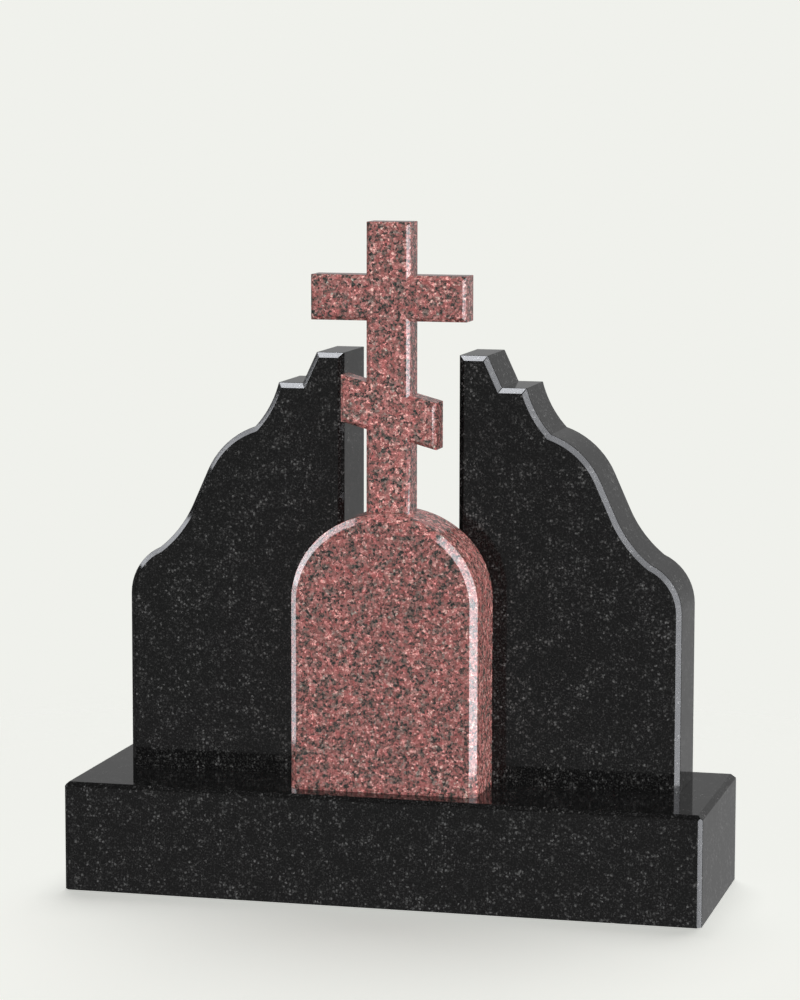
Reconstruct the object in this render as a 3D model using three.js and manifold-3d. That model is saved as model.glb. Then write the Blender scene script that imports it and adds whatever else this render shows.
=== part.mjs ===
// A cross grave monument of five polished granite stones: a long black plinth, two black wings
// with a stepped and curved outer edge, a red round-headed stele between them, and a red
// eight-pointed cross that stands on the crown of the stele.
// Millimetres, +Z up. X runs along the width and the front faces -Y.
// The origin is the middle of the plinth's underside.
import * as THREE from "three";
import { mergeVertices } from "three/addons/utils/BufferGeometryUtils.js";
import Module from "manifold-3d";

// Plinth: a rectangular block, chamfered round its top and down its two front corners.
const PLINTH_WIDTH = 1200;
const PLINTH_DEPTH = 396;
const PLINTH_HEIGHT = 204;
const PLINTH_CHAMFER = 8.5;

// Thin bed of setting mortar between two stones.
const JOINT = 0.3;

// Stele: a slab with an elliptical head, chamfered round its front face.
const STELE_WIDTH = 352;
const STELE_HEIGHT = 514;
const STELE_THICKNESS = 134;
const STELE_HEAD_RISE = 165;
const STELE_CHAMFER = 13.5;
const STELE_SETBACK = 47;

// Wings: a mirrored pair of slabs that stand against the back of the stele.
const WING_SPACING = 219;
const WING_WIDTH = 418;
const WING_HEIGHT = 796;
const WING_THICKNESS = 153;
const WING_CHAMFER = 10;

// The wing's outer edge, going down from the crest: distance out from the wing's straight
// inner edge, then height over the plinth.
const CREST_END = [53, WING_HEIGHT];
const LEDGE_START = [80, 738];
const LEDGE_END = [126.5, 738];
const COVE_FOOT = [172.5, 654];
const SHOULDER_FOOT = [265, 570];
const SWEEP_START = [295, 503];
const SWEEP_FOOT = [360, 420];
const HIP_FOOT = [WING_WIDTH, 331];
const COVE_RADIUS = 194;
const SHOULDER_RADIUS = 156;
const SWEEP_RADIUS = 221;
const HIP_RADIUS = 98;

// Cross: one slab, the same width in its stem and in both bars, chamfered round its front face.
const CROSS_HEIGHT = 529;
const CROSS_THICKNESS = 58;
const CROSS_BAR = 83;
const CROSS_CHAMFER = 7.5;
const UPPER_BAR_LENGTH = 292;
const UPPER_BAR_LEVEL = 391;
const LOWER_BAR_LENGTH = 180;
const LOWER_BAR_LEVEL = 183;
const LOWER_BAR_SLANT = 15;

// Each arc is drawn with twice this many chords. The chord beside a sharp corner has to be
// longer than what the chamfer's mitre takes from it there.
const WING_CURVE_STEPS = 5;
const HEAD_CURVE_STEPS = 36;

// Extra length that is cut away again where a stone is trimmed flat.
const OVERRUN = 60;

// How far a cutting block reaches past the faces that it leaves whole.
const CLEARANCE = 1;

// Corners closer together than this are one corner.
const WELD = 1e-4;

const BLACK_GRANITE = { color: 0x1b1b1c, roughness: 0.12, metalness: 0 };
const RED_GRANITE = { color: 0x8a4a49, roughness: 0.18, metalness: 0 };

const wasm = await Module();
wasm.setup();

// A closed geometry as a solid that can be cut.
function solidFrom(geometry) {
  const bare = geometry.clone();
  bare.deleteAttribute("normal");
  bare.deleteAttribute("uv");
  const merged = mergeVertices(bare, WELD);
  const mesh = new wasm.Mesh({
    numProp: 3,
    vertProperties: new Float32Array(merged.attributes.position.array),
    triVerts: new Uint32Array(merged.index.array),
  });
  return new wasm.Manifold(mesh);
}

// A solid back as a geometry with crisp edges.
function geometryFrom(solid) {
  const mesh = solid.getMesh();
  const shared = new THREE.BufferGeometry();
  shared.setAttribute("position", new THREE.BufferAttribute(mesh.vertProperties, 3));
  shared.setIndex(new THREE.BufferAttribute(mesh.triVerts, 1));
  const geometry = shared.toNonIndexed();
  geometry.computeVertexNormals();
  return geometry;
}

// A block between two corners.
function block(low, high) {
  const size = high.map((value, axis) => value - low[axis]);
  const geometry = new THREE.BoxGeometry(...size);
  geometry.translate(...low.map((value, axis) => value + size[axis] / 2));
  return solidFrom(geometry);
}

// A slab lying on its back: the outline in X and Y, the front face at z = thickness with a
// chamfer all round it, the back flat at z = 0. What hangs below y = foot is cut off square.
function chamferedSlab(outline, thickness, chamfer, foot, curveSteps) {
  const geometry = new THREE.ExtrudeGeometry(outline, {
    depth: thickness - chamfer,
    curveSegments: curveSteps,
    bevelEnabled: true,
    bevelSegments: 1,
    bevelThickness: chamfer,
    bevelSize: chamfer,
    bevelOffset: -chamfer,
  });
  geometry.computeBoundingBox();
  const { min, max } = geometry.boundingBox.expandByScalar(CLEARANCE);
  const kept = block([min.x, foot, 0], max.toArray());
  return solidFrom(geometry).intersect(kept);
}

function shapeFrom(corners) {
  return new THREE.Shape(corners.map(([x, y]) => new THREE.Vector2(x, y)));
}

// Adds to the outline an arc of the given radius from its last point to the next one.
function arcTo(outline, [x, y], radius, clockwise) {
  const start = outline.currentPoint;
  const chord = new THREE.Vector2(x - start.x, y - start.y);
  const reach = Math.sqrt(radius ** 2 - chord.lengthSq() / 4);
  const toCentre = new THREE.Vector2(chord.y, -chord.x).setLength(clockwise ? reach : -reach);
  const centre = new THREE.Vector2((start.x + x) / 2, (start.y + y) / 2).add(toCentre);
  const startAngle = Math.atan2(start.y - centre.y, start.x - centre.x);
  const endAngle = Math.atan2(y - centre.y, x - centre.x);
  outline.absarc(centre.x, centre.y, radius, startAngle, endAngle, clockwise);
}

// The wing's outline from the middle of the monument outwards: side is 1 for the wing on +X and
// -1 for its mirror image, whose arcs turn the other way.
function wingOutline(side) {
  const at = ([out, height]) => [side * out, height];
  const convex = side > 0;
  const concave = !convex;
  const outline = new THREE.Shape();
  outline.moveTo(...at([0, -OVERRUN]));
  outline.lineTo(...at([0, WING_HEIGHT]));
  outline.lineTo(...at(CREST_END));
  outline.lineTo(...at(LEDGE_START));
  outline.lineTo(...at(LEDGE_END));
  arcTo(outline, at(COVE_FOOT), COVE_RADIUS, concave);
  arcTo(outline, at(SHOULDER_FOOT), SHOULDER_RADIUS, convex);
  outline.lineTo(...at(SWEEP_START));
  arcTo(outline, at(SWEEP_FOOT), SWEEP_RADIUS, concave);
  arcTo(outline, at(HIP_FOOT), HIP_RADIUS, convex);
  outline.lineTo(...at([WING_WIDTH, -OVERRUN]));
  outline.closePath();
  return outline;
}

// The stele's outline, or with grow above 0 the same outline that much larger all round.
function steleOutline(grow) {
  const halfWidth = STELE_WIDTH / 2 + grow;
  const spring = STELE_HEIGHT - STELE_HEAD_RISE;
  const outline = new THREE.Shape();
  outline.moveTo(-halfWidth, -OVERRUN);
  outline.lineTo(halfWidth, -OVERRUN);
  outline.lineTo(halfWidth, spring);
  outline.absellipse(0, spring, halfWidth, STELE_HEAD_RISE + grow, 0, Math.PI, false, 0);
  outline.closePath();
  return outline;
}

// The cross, with heights over the crown of the stele. The lower bar falls towards +X, and its
// ends are cut upright.
function crossOutline() {
  const stem = CROSS_BAR / 2;
  const upperEnd = UPPER_BAR_LENGTH / 2;
  const lowerEnd = LOWER_BAR_LENGTH / 2;
  const slant = THREE.MathUtils.degToRad(LOWER_BAR_SLANT);
  const lowerHalf = CROSS_BAR / 2 / Math.cos(slant);
  const lowerMiddle = (x) => LOWER_BAR_LEVEL - x * Math.tan(slant);
  const lowerTop = (x) => [x, lowerMiddle(x) + lowerHalf];
  const lowerUnderside = (x) => [x, lowerMiddle(x) - lowerHalf];
  const upperTop = UPPER_BAR_LEVEL + CROSS_BAR / 2;
  const upperUnderside = UPPER_BAR_LEVEL - CROSS_BAR / 2;
  const rightSide = [
    [stem, -OVERRUN],
    lowerUnderside(stem),
    lowerUnderside(lowerEnd),
    lowerTop(lowerEnd),
    lowerTop(stem),
    [stem, upperUnderside],
    [upperEnd, upperUnderside],
    [upperEnd, upperTop],
    [stem, upperTop],
    [stem, CROSS_HEIGHT],
  ];
  const leftSide = [
    [-stem, CROSS_HEIGHT],
    [-stem, upperTop],
    [-upperEnd, upperTop],
    [-upperEnd, upperUnderside],
    [-stem, upperUnderside],
    lowerTop(-stem),
    lowerTop(-lowerEnd),
    lowerUnderside(-lowerEnd),
    lowerUnderside(-stem),
    [-stem, -OVERRUN],
  ];
  return shapeFrom([...rightSide, ...leftSide]);
}

// A block with chamfered top edges, cut by an upright prism that has the two front corners off.
function plinthSolid() {
  const right = PLINTH_WIDTH / 2;
  const back = PLINTH_DEPTH / 2;
  const cut = PLINTH_CHAMFER;
  const backCorners = [[right, back], [-right, back]];
  const leftCut = [[-right, -back + cut], [-right + cut, -back]];
  const rightCut = [[right - cut, -back], [right, -back + cut]];
  const plan = shapeFrom([[-right, -back], [right, -back], ...backCorners]);
  const cutPlan = shapeFrom([...leftCut, ...rightCut, ...backCorners]);
  const topped = chamferedSlab(plan, PLINTH_HEIGHT, cut, -PLINTH_DEPTH, 1);
  const upright = new THREE.ExtrudeGeometry(cutPlan, {
    depth: PLINTH_HEIGHT + CLEARANCE,
    bevelEnabled: false,
  });
  return solidFrom(upright).intersect(topped);
}

function wingSolid(side) {
  return chamferedSlab(wingOutline(side), WING_THICKNESS, WING_CHAMFER, JOINT, WING_CURVE_STEPS);
}

function steleSolid() {
  return chamferedSlab(steleOutline(0), STELE_THICKNESS, STELE_CHAMFER, JOINT, HEAD_CURVE_STEPS);
}

// The foot of the cross is hollowed to sit on the curve of the stele's crown.
function crossSolid() {
  const slab = chamferedSlab(crossOutline(), CROSS_THICKNESS, CROSS_CHAMFER, -OVERRUN / 2, 1);
  const crown = new THREE.ExtrudeGeometry(steleOutline(JOINT), {
    depth: CROSS_THICKNESS + 2 * CLEARANCE,
    curveSegments: HEAD_CURVE_STEPS,
    bevelEnabled: false,
  });
  crown.translate(0, -STELE_HEIGHT, -CLEARANCE);
  return slab.subtract(solidFrom(crown));
}

function stone(name, solid, look) {
  const mesh = new THREE.Mesh(geometryFrom(solid), new THREE.MeshStandardMaterial(look));
  mesh.name = name;
  return mesh;
}

// Stands a slab up, with its flat back at the given depth and its outline's zero at the height.
function standUp(mesh, x, back, height) {
  mesh.rotation.x = Math.PI / 2;
  mesh.position.set(x, back, height);
  return mesh;
}

const steleFront = -PLINTH_DEPTH / 2 + STELE_SETBACK;
const steleBack = steleFront + STELE_THICKNESS;
const wingBack = steleBack + JOINT + WING_THICKNESS;
const crossBack = (steleFront + steleBack + CROSS_THICKNESS) / 2;
const wingInnerEdge = WING_SPACING / 2;

const plinth = stone("plinth", plinthSolid(), BLACK_GRANITE);
const wingLeft = stone("wing_left", wingSolid(-1), BLACK_GRANITE);
const wingRight = stone("wing_right", wingSolid(1), BLACK_GRANITE);
const stele = stone("stele", steleSolid(), RED_GRANITE);
const cross = stone("cross", crossSolid(), RED_GRANITE);

standUp(wingLeft, -wingInnerEdge, wingBack, PLINTH_HEIGHT);
standUp(wingRight, wingInnerEdge, wingBack, PLINTH_HEIGHT);
standUp(stele, 0, steleBack, PLINTH_HEIGHT);
standUp(cross, 0, crossBack, PLINTH_HEIGHT + STELE_HEIGHT);

const monument = new THREE.Group();
monument.name = "cross_grave_monument";
monument.add(plinth, wingLeft, wingRight, stele, cross);

export default monument;
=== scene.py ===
# %% [markdown]
# A cross grave monument in polished granite.
#
# The real object is five stones set in mortar: a long black plinth, two black wings whose
# outer edges step and curve down like a gable, a red round-headed stele between them, and a
# red eight-pointed cross on the crown of the stele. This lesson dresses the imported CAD
# solids: it eases their edges, gives them two granites, and lights them like a studio
# picture. All lengths are metres, +Z is up and the front of the monument faces -Y.

import math

import bmesh
import bpy
from mathutils import Matrix, Quaternion, Vector


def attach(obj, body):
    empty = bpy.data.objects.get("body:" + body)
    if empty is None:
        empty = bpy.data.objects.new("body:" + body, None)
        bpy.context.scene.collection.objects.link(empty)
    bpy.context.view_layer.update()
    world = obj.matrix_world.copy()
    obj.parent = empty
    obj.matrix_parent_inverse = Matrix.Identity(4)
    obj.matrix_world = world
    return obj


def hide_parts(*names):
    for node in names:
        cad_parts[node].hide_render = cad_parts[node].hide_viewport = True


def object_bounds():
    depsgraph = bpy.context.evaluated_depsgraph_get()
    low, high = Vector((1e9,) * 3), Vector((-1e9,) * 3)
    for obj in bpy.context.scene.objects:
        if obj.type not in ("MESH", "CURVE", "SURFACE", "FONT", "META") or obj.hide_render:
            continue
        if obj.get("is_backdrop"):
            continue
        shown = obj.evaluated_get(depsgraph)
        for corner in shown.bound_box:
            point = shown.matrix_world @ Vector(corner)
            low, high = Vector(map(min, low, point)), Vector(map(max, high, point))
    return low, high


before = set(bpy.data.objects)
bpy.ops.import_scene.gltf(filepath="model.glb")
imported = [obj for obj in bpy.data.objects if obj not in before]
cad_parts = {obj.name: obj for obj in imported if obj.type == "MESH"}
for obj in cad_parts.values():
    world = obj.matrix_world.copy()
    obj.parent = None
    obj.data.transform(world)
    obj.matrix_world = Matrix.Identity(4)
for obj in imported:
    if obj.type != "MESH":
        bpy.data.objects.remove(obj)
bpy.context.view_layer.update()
print("stones in the frame:", sorted(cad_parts))

# %% [markdown]
# The camera. The picture was taken from a little to the right of the middle and a little
# above the crown of the stele, with a long lens, so upright edges stay almost parallel. The
# viewpoint could be set by eye, but the seen corners of a box-shaped stone pin it down much
# better, so the numbers below were fitted to the corners of the plinth and of the wings.

# %% Camera
VIEW_AZIMUTH = math.radians(14.14)
VIEW_ELEVATION = math.radians(7.14)
VIEW_ROLL = math.radians(0.09)
VIEW_DISTANCE = 6.486
VIEW_LENS = 125.93
SENSOR_LONG_SIDE = 36
AIM_ACROSS = -0.0046
AIM_HEIGHT = 0.7277


def direction(azimuth, elevation):
    """The unit vector from the monument towards a camera or lamp; azimuth 0 is the front."""
    level = math.cos(elevation)
    return Vector((math.sin(azimuth) * level, -math.cos(azimuth) * level, math.sin(elevation)))


across = Vector((math.cos(VIEW_AZIMUTH), math.sin(VIEW_AZIMUTH), 0))
aim = across * AIM_ACROSS + Vector((0, 0, AIM_HEIGHT))
towards_camera = direction(VIEW_AZIMUTH, VIEW_ELEVATION)
lens = bpy.data.cameras.new("camera")
lens.lens = VIEW_LENS
lens.sensor_width = SENSOR_LONG_SIDE
camera = bpy.data.objects.new("camera", lens)
camera.rotation_mode = "QUATERNION"
camera.location = aim + towards_camera * VIEW_DISTANCE
camera.rotation_quaternion = (-towards_camera).to_track_quat("-Z", "Y")
camera.rotation_quaternion @= Quaternion((0, 0, 1), VIEW_ROLL)
bpy.context.scene.collection.objects.link(camera)
bpy.context.scene.camera = camera
bpy.context.scene.view_settings.view_transform = "Standard"
print("camera stands at", [round(place, 3) for place in camera.location])

# %% [markdown]
# The stones. Each one was sawn from a block, its profile cut on a wire saw, its faces
# polished, and its front edges given a flat 45 degree chamfer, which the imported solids
# already have. What they lack is the eased arris: a mason rubs every sharp edge down by
# about a millimetre so that it doesn't chip, and that thin round is what catches a line of
# light. A Bevel modifier could do it, but here a copy of each packed stone is merged into
# whole faces and bevelled with the bmesh operator, so that the chamfer faces can be told
# apart first, by the slope of their normals, and given a finish of their own.

# %% Merge a packed stone into whole faces
MERGE_DISTANCE = 1e-5
FLAT_ANGLE = math.radians(0.4)


def whole_faced_copy(node):
    """A bmesh of a packed stone with its loose triangles joined into whole faces."""
    stone = bmesh.new()
    stone.from_mesh(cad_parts[node].data)
    bmesh.ops.remove_doubles(stone, verts=stone.verts, dist=MERGE_DISTANCE)
    bmesh.ops.dissolve_limit(
        stone, angle_limit=FLAT_ANGLE, verts=stone.verts, edges=stone.edges
    )
    return stone


# %% Tell the chamfers from the polished faces
HAND_RUBBED = 1
SLOPE_LOW, SLOPE_HIGH = 0.45, 0.9


def mark_chamfers(stone, axes):
    """Gives the second material to each face that slopes against one of these axes."""
    chamfers = 0
    for face in stone.faces:
        if any(SLOPE_LOW < abs(face.normal[axis]) < SLOPE_HIGH for axis in axes):
            face.material_index = HAND_RUBBED
            chamfers += 1
    return chamfers


# %% [markdown]
# A stone's underside is bedded on the one below, so its lower edges are left as sawn. Eased
# edges there would show as a dark groove round the foot, and on the real monument the joint
# is hardly seen. The edges of the bed stay sharp in the shading too.

# %% Ease the sharp edges
SHARP_ANGLE = math.radians(20)
ARRIS_SEGMENTS = 3
CRUMB = 3e-5
BED_DEPTH = 2e-4


def on_the_bed(edge, bed):
    """True for an edge that lies on the underside of a stone."""
    return all(corner.co.z < bed + BED_DEPTH for corner in edge.verts)


def ease_arrises(stone, width):
    """Rounds every sharp edge of a stone by a small width, apart from those of its bed."""
    bed = min(corner.co.z for corner in stone.verts)
    arrises = [
        edge
        for edge in stone.edges
        if edge.calc_face_angle(0) > SHARP_ANGLE and not on_the_bed(edge, bed)
    ]
    bmesh.ops.bevel(
        stone,
        geom=arrises,
        offset=width,
        offset_type="OFFSET",
        affect="EDGES",
        segments=ARRIS_SEGMENTS,
        profile=0.5,
        material=-1,
    )
    bmesh.ops.remove_doubles(stone, verts=stone.verts, dist=CRUMB)
    bmesh.ops.dissolve_degenerate(stone, edges=stone.edges, dist=CRUMB)
    for face in stone.faces:
        face.smooth = True
    for edge in stone.edges:
        edge.smooth = not on_the_bed(edge, bed)
    return len(arrises)


# %% Make a piece of a dressed stone
AXIS_Y, AXIS_Z = 1, 2
ARRIS_WIDTH = 0.0010


def dressed_stone(node, chamfer_axes):
    """A finished stone that stands for a packed one, with its place in its mesh."""
    stone = whole_faced_copy(node)
    chamfers = mark_chamfers(stone, chamfer_axes)
    arrises = ease_arrises(stone, ARRIS_WIDTH)
    mesh = bpy.data.meshes.new(node + "_stone")
    stone.to_mesh(mesh)
    stone.free()
    piece = bpy.data.objects.new(node + "_stone", mesh)
    bpy.context.scene.collection.objects.link(piece)
    shading = piece.modifiers.new("true_flats", "WEIGHTED_NORMAL")
    shading.mode = "FACE_AREA"
    shading.keep_sharp = True
    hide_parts(node)
    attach(piece, "root")
    print(piece.name, "has", chamfers, "chamfer faces and", arrises, "eased arrises")
    return piece


plinth = dressed_stone("plinth", (AXIS_Y, AXIS_Z))
wing_left = dressed_stone("wing_left", (AXIS_Y,))
wing_right = dressed_stone("wing_right", (AXIS_Y,))
stele = dressed_stone("stele", (AXIS_Y,))
cross = dressed_stone("cross", (AXIS_Y,))

# %% [markdown]
# Shader maths. A granite is a sum of a few patterns, and in the node editor such sums turn
# into long chains of Math nodes. One small class wraps a node's output so that the sums can
# be written as plain expressions, and one method makes every other kind of node.


# %% Shader sums as plain expressions
class Signal:
    """One output of a node; arithmetic on it adds Math nodes."""

    def __init__(self, recipe, socket):
        self.recipe = recipe
        self.socket = socket

    def sum_of(self, operation, first, second):
        return self.recipe.node(
            "ShaderNodeMath", {"operation": operation}, {0: first, 1: second}
        )

    def __add__(self, other):
        return self.sum_of("ADD", self, other)

    def __radd__(self, other):
        return self.sum_of("ADD", other, self)

    def __sub__(self, other):
        return self.sum_of("SUBTRACT", self, other)

    def __rsub__(self, other):
        return self.sum_of("SUBTRACT", other, self)

    def __mul__(self, other):
        return self.sum_of("MULTIPLY", self, other)

    def __rmul__(self, other):
        return self.sum_of("MULTIPLY", other, self)


def set_stops(ramp, stops):
    """Gives a colour ramp its stops, each a position and a colour."""
    while len(ramp.elements) < len(stops):
        ramp.elements.new(1.0)
    for element, (position, colour) in zip(ramp.elements, stops):
        element.position = position
        element.color = (*colour, 1.0)


class Recipe:
    """The node tree of one material or world."""

    def __init__(self, owner):
        owner.use_nodes = True
        self.tree = owner.node_tree
        self.tree.nodes.clear()

    def node(self, kind, settings=None, inputs=None, output=0):
        """Adds a node, its settings first, and gives back one output, or a list for a tuple."""
        made = self.tree.nodes.new(kind)
        for name, value in (settings or {}).items():
            if name == "stops":
                set_stops(made.color_ramp, value)
            else:
                setattr(made, name, value)
        for name, value in (inputs or {}).items():
            if isinstance(value, Signal):
                self.tree.links.new(value.socket, made.inputs[name])
            else:
                made.inputs[name].default_value = value
        if isinstance(output, tuple):
            return [Signal(self, made.outputs[name]) for name in output]
        return Signal(self, made.outputs[output]) if made.outputs else None


# %% Tinting and fading
MIX_FACTOR, MIX_A, MIX_B, MIX_RESULT = 0, 6, 7, 2


def tinted(recipe, colour, tint):
    """A colour multiplied by another, which may be brighter than white."""
    return recipe.node(
        "ShaderNodeMix",
        {"data_type": "RGBA", "blend_type": "MULTIPLY", "clamp_result": False},
        {MIX_FACTOR: 1.0, MIX_A: colour, MIX_B: tint},
        MIX_RESULT,
    )


def fade(recipe, value, low, high, start=0.0, end=1.0):
    """Turns a value's range from low to high into a smooth change from start to end."""
    return recipe.node(
        "ShaderNodeMapRange",
        {"interpolation_type": "SMOOTHSTEP"},
        {0: value, 1: low, 2: high, 3: start, 4: end},
    )


# %% [markdown]
# Granite is a solid of interlocked crystals, so its pattern has to run through the stone and
# meet at every edge. A picture of granite wrapped round a box would break at the corners.
# Three-dimensional Voronoi cells on Object coordinates don't: each cell is a crystal, its
# random colour picks the mineral, and a slow noise gathers like minerals into clusters. A
# fast noise wobbles the coordinates first, because real crystals have ragged edges.

# %% Crystals through the whole stone
WOBBLE_SCALE = 260.0
WOBBLE_DETAIL = 1.0
NOISE_MIDDLE = 0.5
CLUSTER_DETAIL = 2.0


def crystal_space(recipe, block, wobble_width):
    """Object coordinates moved to another part of the quarry block, slightly wobbled."""
    place = recipe.node("ShaderNodeTexCoord", output="Object")
    place = recipe.node("ShaderNodeMapping", {}, {"Vector": place, "Location": block})
    wobble = recipe.node(
        "ShaderNodeTexNoise",
        {},
        {"Vector": place, "Scale": WOBBLE_SCALE, "Detail": WOBBLE_DETAIL},
        "Color",
    )
    wobble = recipe.node(
        "ShaderNodeVectorMath",
        {"operation": "SUBTRACT"},
        {0: wobble, 1: (NOISE_MIDDLE,) * 3},
    )
    return recipe.node(
        "ShaderNodeVectorMath",
        {"operation": "MULTIPLY_ADD"},
        {0: wobble, 1: (wobble_width,) * 3, 2: place},
    )


def crystals(recipe, space, size):
    """Two random numbers for each crystal of about this size: its mineral and its hue."""
    cells = recipe.node(
        "ShaderNodeTexVoronoi", {"feature": "F1"}, {"Vector": space, "Scale": 1 / size}, "Color"
    )
    return recipe.node("ShaderNodeSeparateColor", {}, {0: cells}, ("Red", "Green"))


def clusters(recipe, space, size, detail=CLUSTER_DETAIL):
    """A noise whose lumps are about this size, centred on zero."""
    lumps = recipe.node(
        "ShaderNodeTexNoise", {}, {"Vector": space, "Scale": 1 / size, "Detail": detail}
    )
    return lumps - NOISE_MIDDLE


# %% [markdown]
# The finish. A polished granite is a clear mirror over its colour, but not a perfect one:
# each mineral takes the polish a little differently, and the softer ones stay a hair lower
# than the rest. The chamfers are rubbed by hand and are slightly less sharp than the faces.

# %% Finish a granite
FACE_ROUGHNESS = 0.05
CHAMFER_ROUGHNESS = 0.11
MINERAL_ROUGHNESS = 0.04
RELIEF_STRENGTH = 0.12
RELIEF_DEPTH = 0.0002


def granite(name, shown_colour):
    """A new material for a granite, in the colour that the viewport shows."""
    material = bpy.data.materials.new(name)
    material.diffuse_color = (*shown_colour, 1.0)
    return material, Recipe(material)


def finish(recipe, colour, mineral, ior, hand_rubbed):
    """Ends a granite's recipe with its polished surface."""
    base = CHAMFER_ROUGHNESS if hand_rubbed else FACE_ROUGHNESS
    relief = recipe.node(
        "ShaderNodeBump",
        {},
        {"Strength": RELIEF_STRENGTH, "Distance": RELIEF_DEPTH, "Height": mineral},
    )
    surface = recipe.node(
        "ShaderNodeBsdfPrincipled",
        {},
        {
            "Base Color": colour,
            "Roughness": mineral * MINERAL_ROUGHNESS + base,
            "IOR": ior,
            "Normal": relief,
        },
    )
    recipe.node("ShaderNodeOutputMaterial", {}, {"Surface": surface})


# %% [markdown]
# The red granite is mostly brick-red and rose feldspar. Between its crystals lie grains of
# grey quartz, dark green-grey mica, and a few pale pink crystals. Coarse and fine cells are
# added, so that a big crystal is broken by small ones as in the real stone. The sum picks
# the mineral from one ramp, and a second ramp tints it, greener where the dark ones gather.

# %% Red granite
RED_WOBBLE = 0.0030
RED_GRAIN = 0.0044
RED_FINE_GRAIN = 0.0023
RED_COARSE_SHARE = 0.62
RED_CLUSTER = 0.015
RED_GATHERING = 0.58
RED_HUE_START = 0.22
RED_HUE_SPREAD = 0.5
RED_HUE_GATHERING = 1.4
RED_IOR = 1.40
RED_IN_VIEWPORT = (0.27, 0.11, 0.1)
RED_MINERALS = [
    (0.08, (0.016, 0.019, 0.018)),
    (0.23, (0.048, 0.047, 0.044)),
    (0.30, (0.118, 0.072, 0.064)),
    (0.38, (0.215, 0.088, 0.080)),
    (0.58, (0.312, 0.130, 0.120)),
    (0.70, (0.385, 0.175, 0.163)),
    (0.82, (0.480, 0.250, 0.230)),
    (0.94, (0.820, 0.590, 0.520)),
]
RED_HUES = [
    (0.00, (1.24, 0.78, 0.80)),
    (0.35, (1.08, 0.90, 0.90)),
    (0.60, (0.98, 0.98, 0.96)),
    (0.78, (0.58, 0.94, 0.90)),
]


def red_granite(name, block, hand_rubbed):
    """Red granite from one part of the block, machine polished or rubbed by hand."""
    material, recipe = granite(name, RED_IN_VIEWPORT)
    space = crystal_space(recipe, block, RED_WOBBLE)
    grain, hue = crystals(recipe, space, RED_GRAIN)
    fine_grain = crystals(recipe, space, RED_FINE_GRAIN)[0]
    gathered = clusters(recipe, space, RED_CLUSTER)
    grain = grain * RED_COARSE_SHARE + fine_grain * (1 - RED_COARSE_SHARE)
    mineral = grain + gathered * RED_GATHERING
    colour = recipe.node("ShaderNodeValToRGB", {"stops": RED_MINERALS}, {"Fac": mineral})
    hue = hue * RED_HUE_SPREAD + RED_HUE_START - gathered * RED_HUE_GATHERING
    tint = recipe.node("ShaderNodeValToRGB", {"stops": RED_HUES}, {"Fac": hue})
    colour = tinted(recipe, colour, tint)
    finish(recipe, colour, mineral, RED_IOR, hand_rubbed)
    return material


# %% [markdown]
# The black granite is a dark gabbro. Its ground is almost black and faintly clouded, and
# small grey crystals are scattered through it in loose flocks. A soft spot is drawn round the
# middle of a Voronoi cell, and the cell's random number with a slow noise decides how bright
# the spot is. A coarse and a fine layer of spots are laid over each other.

# %% Scattered crystals
SPOT_CORE, SPOT_RIM = 0.15, 0.75
SPOT_FADE = 0.5


def spots(recipe, space, size, gathered, least):
    """Soft spots in some of the cells of this size; gathered raises their number."""
    scale = {"Vector": space, "Scale": 1 / size}
    away, dice = recipe.node(
        "ShaderNodeTexVoronoi", {"feature": "F1"}, scale, ("Distance", "Color")
    )
    dice = recipe.node("ShaderNodeSeparateColor", {}, {0: dice})
    bright = fade(recipe, dice + gathered, least, least + SPOT_FADE)
    return fade(recipe, away, SPOT_CORE, SPOT_RIM, 1.0, 0.0) * bright


# %% Black granite
BLACK_WOBBLE = 0.0030
BLACK_GROUND = 0.185
BLACK_CLOUD = 0.0030
BLACK_CLOUD_DETAIL = 1.0
BLACK_CLUSTER = 0.034
BLACK_GRAIN = 0.0060
BLACK_GRAIN_LEAST = 0.49
BLACK_GRAIN_GATHERING = 1.6
BLACK_GRAIN_BRIGHTNESS = 0.52
BLACK_FINE_GRAIN = 0.0034
BLACK_FINE_LEAST = 0.10
BLACK_FINE_GATHERING = 1.1
BLACK_FINE_BRIGHTNESS = 0.32
BLACK_IOR = 1.30
BLACK_IN_VIEWPORT = (0.02, 0.02, 0.02)
BLACK_MINERALS = [
    (0.00, (0.0005, 0.0005, 0.0005)),
    (0.22, (0.0030, 0.0030, 0.0030)),
    (0.40, (0.0105, 0.0105, 0.0104)),
    (0.60, (0.0320, 0.0320, 0.0316)),
    (0.80, (0.0760, 0.0760, 0.0750)),
    (1.00, (0.1550, 0.1550, 0.1530)),
]


def black_granite(name, block, hand_rubbed):
    """Black granite from one part of the block, machine polished or rubbed by hand."""
    material, recipe = granite(name, BLACK_IN_VIEWPORT)
    space = crystal_space(recipe, block, BLACK_WOBBLE)
    cloud = clusters(recipe, space, BLACK_CLOUD, BLACK_CLOUD_DETAIL)
    gathered = clusters(recipe, space, BLACK_CLUSTER)
    coarse_flocks = gathered * BLACK_GRAIN_GATHERING
    coarse = spots(recipe, space, BLACK_GRAIN, coarse_flocks, BLACK_GRAIN_LEAST)
    fine_flocks = gathered * BLACK_FINE_GATHERING
    fine = spots(recipe, space, BLACK_FINE_GRAIN, fine_flocks, BLACK_FINE_LEAST)
    crystals_seen = coarse * BLACK_GRAIN_BRIGHTNESS + fine * BLACK_FINE_BRIGHTNESS
    mineral = cloud + crystals_seen + BLACK_GROUND
    colour = recipe.node("ShaderNodeValToRGB", {"stops": BLACK_MINERALS}, {"Fac": mineral})
    finish(recipe, colour, mineral, BLACK_IOR, hand_rubbed)
    return material


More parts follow.
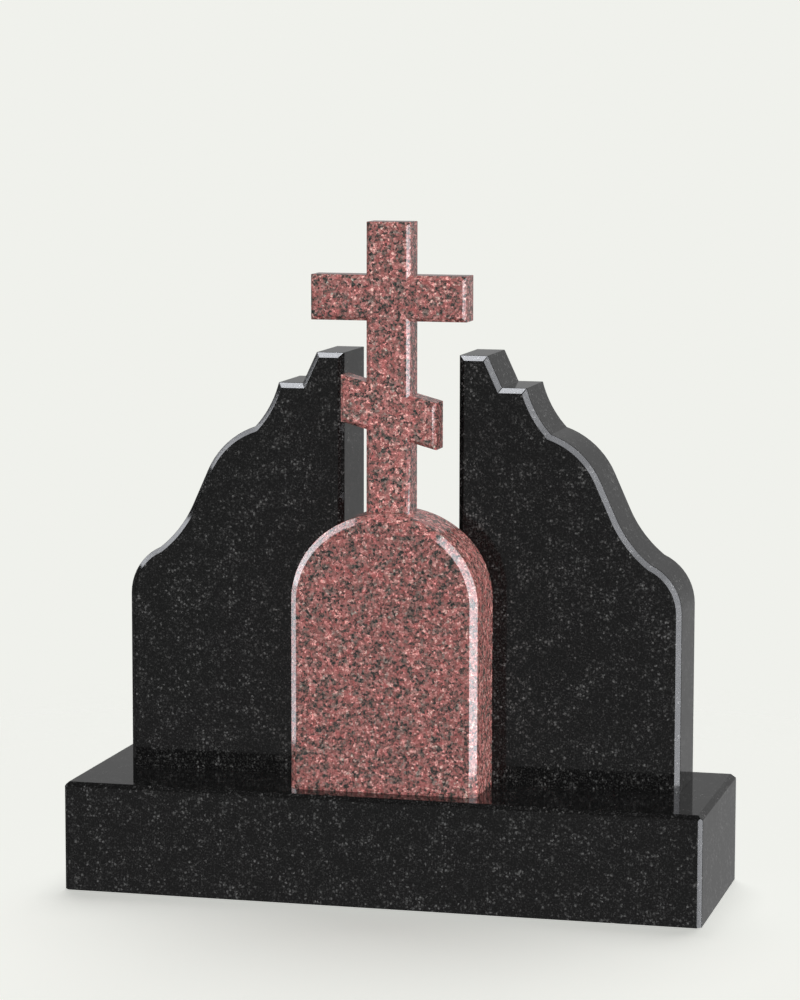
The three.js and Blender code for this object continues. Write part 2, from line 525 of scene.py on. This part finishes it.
# %% [markdown]
# The dressing. Each stone carries two materials of the same granite: the machine-polished one
# on its faces and the hand-rubbed one on its chamfers. The three black stones and the two red
# ones come from different parts of their quarry blocks, so that no two show the same crystals.


# %% Dress the five stones
def dress(piece, make, slot, block):
    """Gives a stone its two finishes of granite and prints which granite it is."""
    faces = make(piece.name + "_faces", block, hand_rubbed=False)
    chamfers = make(piece.name + "_chamfers", block, hand_rubbed=True)
    piece.data.materials.append(faces)
    piece.data.materials.append(chamfers)
    print(piece.name, "is", slot)


dress(plinth, black_granite, "black_granite", (0.0, 0.0, 0.0))
dress(wing_left, black_granite, "black_granite", (3.1, 0.4, 1.7))
dress(wing_right, black_granite, "black_granite", (-2.3, 1.9, 0.6))
dress(stele, red_granite, "red_granite", (1.2, -0.7, 0.9))
dress(cross, red_granite, "red_granite", (-0.6, 2.8, -1.1))

# %% [markdown]
# The stage. The monument stands on a pale floor that runs into a pale backdrop without a
# line. A curved paper sweep is the usual way, but it would hide the monument from behind, so
# here a disc of floor catches the shadow and fades at its rim into a backdrop that is the
# same pale tone all round. Part of the floor's tone is its own glow, which keeps the shadow
# light, and the floor stays out of the mirrors of the polished stones.

# %% Floor
PALE = (0.871, 0.880, 0.839)
FLOOR_RADIUS = 2.4
FLOOR_FADE_START = 1.2
FLOOR_FADE_END = 2.3
FLOOR_GLOW_SHARE = 0.63
FLOOR_SIDES = 96

disc = bmesh.new()
bmesh.ops.create_circle(disc, cap_ends=True, radius=FLOOR_RADIUS, segments=FLOOR_SIDES)
floor_mesh = bpy.data.meshes.new("floor")
disc.to_mesh(floor_mesh)
disc.free()
floor = bpy.data.objects.new("floor", floor_mesh)
bpy.context.scene.collection.objects.link(floor)
floor.visible_glossy = False
floor.visible_diffuse = False
floor.visible_shadow = False
floor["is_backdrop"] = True

paper = bpy.data.materials.new("pale_paper")
recipe = Recipe(paper)
place = recipe.node("ShaderNodeTexCoord", output="Object")
from_middle = recipe.node("ShaderNodeVectorMath", {"operation": "LENGTH"}, {0: place}, "Value")
gone = fade(recipe, from_middle, FLOOR_FADE_START, FLOOR_FADE_END)
glow = recipe.node(
    "ShaderNodeEmission", {}, {"Color": (*PALE, 1.0), "Strength": FLOOR_GLOW_SHARE}
)
matt = recipe.node("ShaderNodeBsdfDiffuse", {}, {"Color": (*PALE, 1.0)})
sheet = recipe.node("ShaderNodeAddShader", {}, {0: glow, 1: matt})
clear = recipe.node("ShaderNodeBsdfTransparent")
mixed = recipe.node("ShaderNodeMixShader", {}, {0: gone, 1: sheet, 2: clear})
recipe.node("ShaderNodeOutputMaterial", {}, {"Surface": mixed})
floor.data.materials.append(paper)
print("floor disc of", FLOOR_RADIUS, "m, clear from", FLOOR_FADE_END, "m")

# %% [markdown]
# The surround. Polished black stone shows its surroundings more than its own colour, so the
# tone of each face is set by what it mirrors. The surround is grey, brighter straight in
# front, where the broad black faces mirror it, and darker on the left. The camera itself
# sees the pale backdrop instead.

# %% Backdrop and studio surround
SURROUND_BEHIND = 0.33
SURROUND_BEFORE = 0.64
LEFT_SHARE = 0.5
# How far towards the back and towards the right a mirror looks where each change of tone
# starts and ends.
BEFORE_FROM, BEFORE_TO = -0.85, -0.4
LEFT_FROM, LEFT_TO = -0.9, -0.3

world = bpy.data.worlds.new("studio")
bpy.context.scene.world = world
world.cycles_visibility.diffuse = False
recipe = Recipe(world)
heading = recipe.node("ShaderNodeTexCoord", output="Generated")
to_right, to_back = recipe.node("ShaderNodeSeparateXYZ", {}, {0: heading}, ("X", "Y"))
surround = fade(recipe, to_back, BEFORE_FROM, BEFORE_TO, SURROUND_BEFORE, SURROUND_BEHIND)
surround = surround * fade(recipe, to_right, LEFT_FROM, LEFT_TO, LEFT_SHARE, 1.0)
seen = recipe.node("ShaderNodeLightPath", output="Is Camera Ray")
backdrop = recipe.node("ShaderNodeBackground", {}, {"Color": (*PALE, 1.0), "Strength": 1.0})
dim = recipe.node(
    "ShaderNodeBackground", {}, {"Color": (1.0, 1.0, 1.0, 1.0), "Strength": surround}
)
mixed = recipe.node("ShaderNodeMixShader", {}, {0: seen, 1: dim, 2: backdrop})
recipe.node("ShaderNodeOutputWorld", {}, {"Surface": mixed})
print("surround glows", SURROUND_BEFORE, "in front and", SURROUND_BEHIND, "behind")

# %% [markdown]
# The fills. The diffuse light on the picture's stones was worked out from their tones: the
# right sides get a third more of it than the fronts, the left chamfers a little less, and
# the level black tops almost none. Large screens on both sides do this in a studio. Here
# each screen is a wide soft sun that casts no shadow and leaves the mirrors alone. The cross
# stands free of the others and has a right-hand fill of its own, one fill from above reaches
# only the red stones, and one lights the backs, which the picture doesn't show.

# %% Fill suns
BLACK_STONES = (plinth, wing_left, wing_right)
RED_STONES = (stele, cross)
ALL_STONES = BLACK_STONES + RED_STONES
SIDE_FILL_ELEVATION = 4
TOP_FILL_ELEVATION = 85
FILL_SOFTNESS = 60


def group_of(name, pieces):
    """A collection of pieces, for a lamp that lights or shades only these."""
    group = bpy.data.collections.new(name)
    for piece in pieces:
        group.objects.link(piece)
    return group


def soft_sun(name, azimuth, elevation, softness, glow, lit):
    """A sun, placed and softened in degrees, that gives some pieces this much diffuse light."""
    sun = bpy.data.lights.new(name, "SUN")
    sun.angle = math.radians(softness)
    sun.energy = glow * math.pi
    holder = bpy.data.objects.new(name, sun)
    towards = direction(math.radians(azimuth), math.radians(elevation))
    holder.rotation_euler = towards.to_track_quat("Z", "Y").to_euler()
    holder.visible_glossy = False
    holder.light_linking.receiver_collection = group_of(name + "_lit", lit)
    bpy.context.scene.collection.objects.link(holder)
    print(name, "glows", round(glow, 3))
    return holder


def fill_sun(name, azimuth, elevation, glow, lit):
    """A fill in whose light no stone casts a shadow."""
    fill = soft_sun(name, azimuth, elevation, FILL_SOFTNESS, glow, lit)
    # The group holds the floor because Blender ignores an empty one.
    fill.light_linking.blocker_collection = group_of(name + "_shaded", (floor,))


fill_sun("right_fill", 60, SIDE_FILL_ELEVATION, glow=1.23, lit=BLACK_STONES + (stele,))
fill_sun("cross_fill", 45, SIDE_FILL_ELEVATION, glow=1.08, lit=(cross,))
fill_sun("left_fill", -75, SIDE_FILL_ELEVATION, glow=0.68, lit=ALL_STONES)
fill_sun("back_fill", 180, SIDE_FILL_ELEVATION, glow=1.00, lit=ALL_STONES)
fill_sun("top_fill", 0, TOP_FILL_ELEVATION, glow=0.50, lit=RED_STONES)

# %% [markdown]
# The shadow. In the picture it is soft and falls towards the camera, so the light over the
# floor comes from high up behind the monument. Its sun lights the floor alone, and brings
# the open floor from its own glow up to exactly the tone of the backdrop.

# %% Floor sun
FLOOR_SUN_AZIMUTH = 185
FLOOR_SUN_ELEVATION = 60
FLOOR_SUN_SOFTNESS = 38

floor_sun_glow = (1 - FLOOR_GLOW_SHARE) / math.sin(math.radians(FLOOR_SUN_ELEVATION))
soft_sun(
    "floor_sun",
    FLOOR_SUN_AZIMUTH,
    FLOOR_SUN_ELEVATION,
    FLOOR_SUN_SOFTNESS,
    floor_sun_glow,
    lit=(floor,),
)

# %% [markdown]
# The strips. A photographer lights dark polished stone with narrow strips, each one placed
# where a chamfer mirrors it towards the camera, and screens it from the other stones with
# black cards. Here each strip stands between two ends, shows only in the mirrors, and light
# linking does the work of the cards. The strips are a slightly cool white.

# %% Softbox strips
COOL_WHITE = (0.93, 0.95, 1.0)


def strip(name, start, end, width, aim, glow, lit):
    """An evenly glowing strip between two places, turned to an aim, that some pieces mirror."""
    start, end, aim = Vector(start), Vector(end), Vector(aim)
    middle = (start + end) / 2
    up = (end - start).normalized()
    back = middle - aim
    back = (back - up * back.dot(up)).normalized()
    lamp = bpy.data.lights.new(name, "AREA")
    lamp.shape = "RECTANGLE"
    lamp.size = width
    lamp.size_y = (end - start).length
    lamp.energy = glow * lamp.size * lamp.size_y * math.pi
    lamp.color = COOL_WHITE
    holder = bpy.data.objects.new(name, lamp)
    turn = Matrix((up.cross(back), up, back)).transposed()
    holder.matrix_world = Matrix.Translation(middle) @ turn.to_4x4()
    holder.visible_camera = False
    holder.visible_diffuse = False
    holder.light_linking.receiver_collection = group_of(name + "_lit", lit)
    bpy.context.scene.collection.objects.link(holder)
    print(name, "is", round(lamp.size_y, 2), "m long and glows", glow)


RIGHT_WING_AIM = (0.4, 0, 0.9)
LEFT_WING_AIM = (-0.4, 0, 0.7)
CREST_AIM = (0, 0, 1)
STELE_AIM = (0, -0.1, 0.6)

# %% Strips for the right-hand chamfers
strip(
    "right_strip",
    start=(3.1, -0.40, -0.8),
    end=(3.1, -0.84, 3.1),
    width=0.5,
    aim=RIGHT_WING_AIM,
    glow=14.5,
    lit=(wing_right, plinth),
)
strip(
    "roof_strip",
    start=(0.7, -0.38, 3.1),
    end=(3.1, -0.84, 3.1),
    width=0.4,
    aim=RIGHT_WING_AIM,
    glow=12,
    lit=(wing_right,),
)
strip(
    "rose_strip",
    start=(3.0, -0.77, -0.6),
    end=(3.0, -1.66, 5.8),
    width=0.36,
    aim=STELE_AIM,
    glow=19,
    lit=RED_STONES,
)

# %% Strips for the crests and the left-hand chamfers
strip(
    "crest_strip",
    start=(-1.1, -0.20, 3.0),
    end=(0.1, -0.20, 3.0),
    width=0.36,
    aim=CREST_AIM,
    glow=28,
    lit=(wing_left, wing_right),
)
strip(
    "left_strip",
    start=(-3.0, 0.34, 1.35),
    end=(-3.0, -0.10, 4.5),
    width=0.45,
    aim=LEFT_WING_AIM,
    glow=10.5,
    lit=(wing_left,),
)
strip(
    "arch_strip",
    start=(-3.0, 0.55, 0.55),
    end=(-3.0, -0.40, 5.2),
    width=0.40,
    aim=STELE_AIM,
    glow=11,
    lit=(stele,),
)
strip(
    "low_strip",
    start=(-3.0, 0.66, -0.7),
    end=(-3.0, 0.62, 0.5),
    width=0.3,
    aim=STELE_AIM,
    glow=6,
    lit=(stele,),
)

# %% Measure the dressed monument
visual_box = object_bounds()
dressed_size = visual_box[1] - visual_box[0]
print("the dressed monument measures:", [round(size, 4) for size in dressed_size])
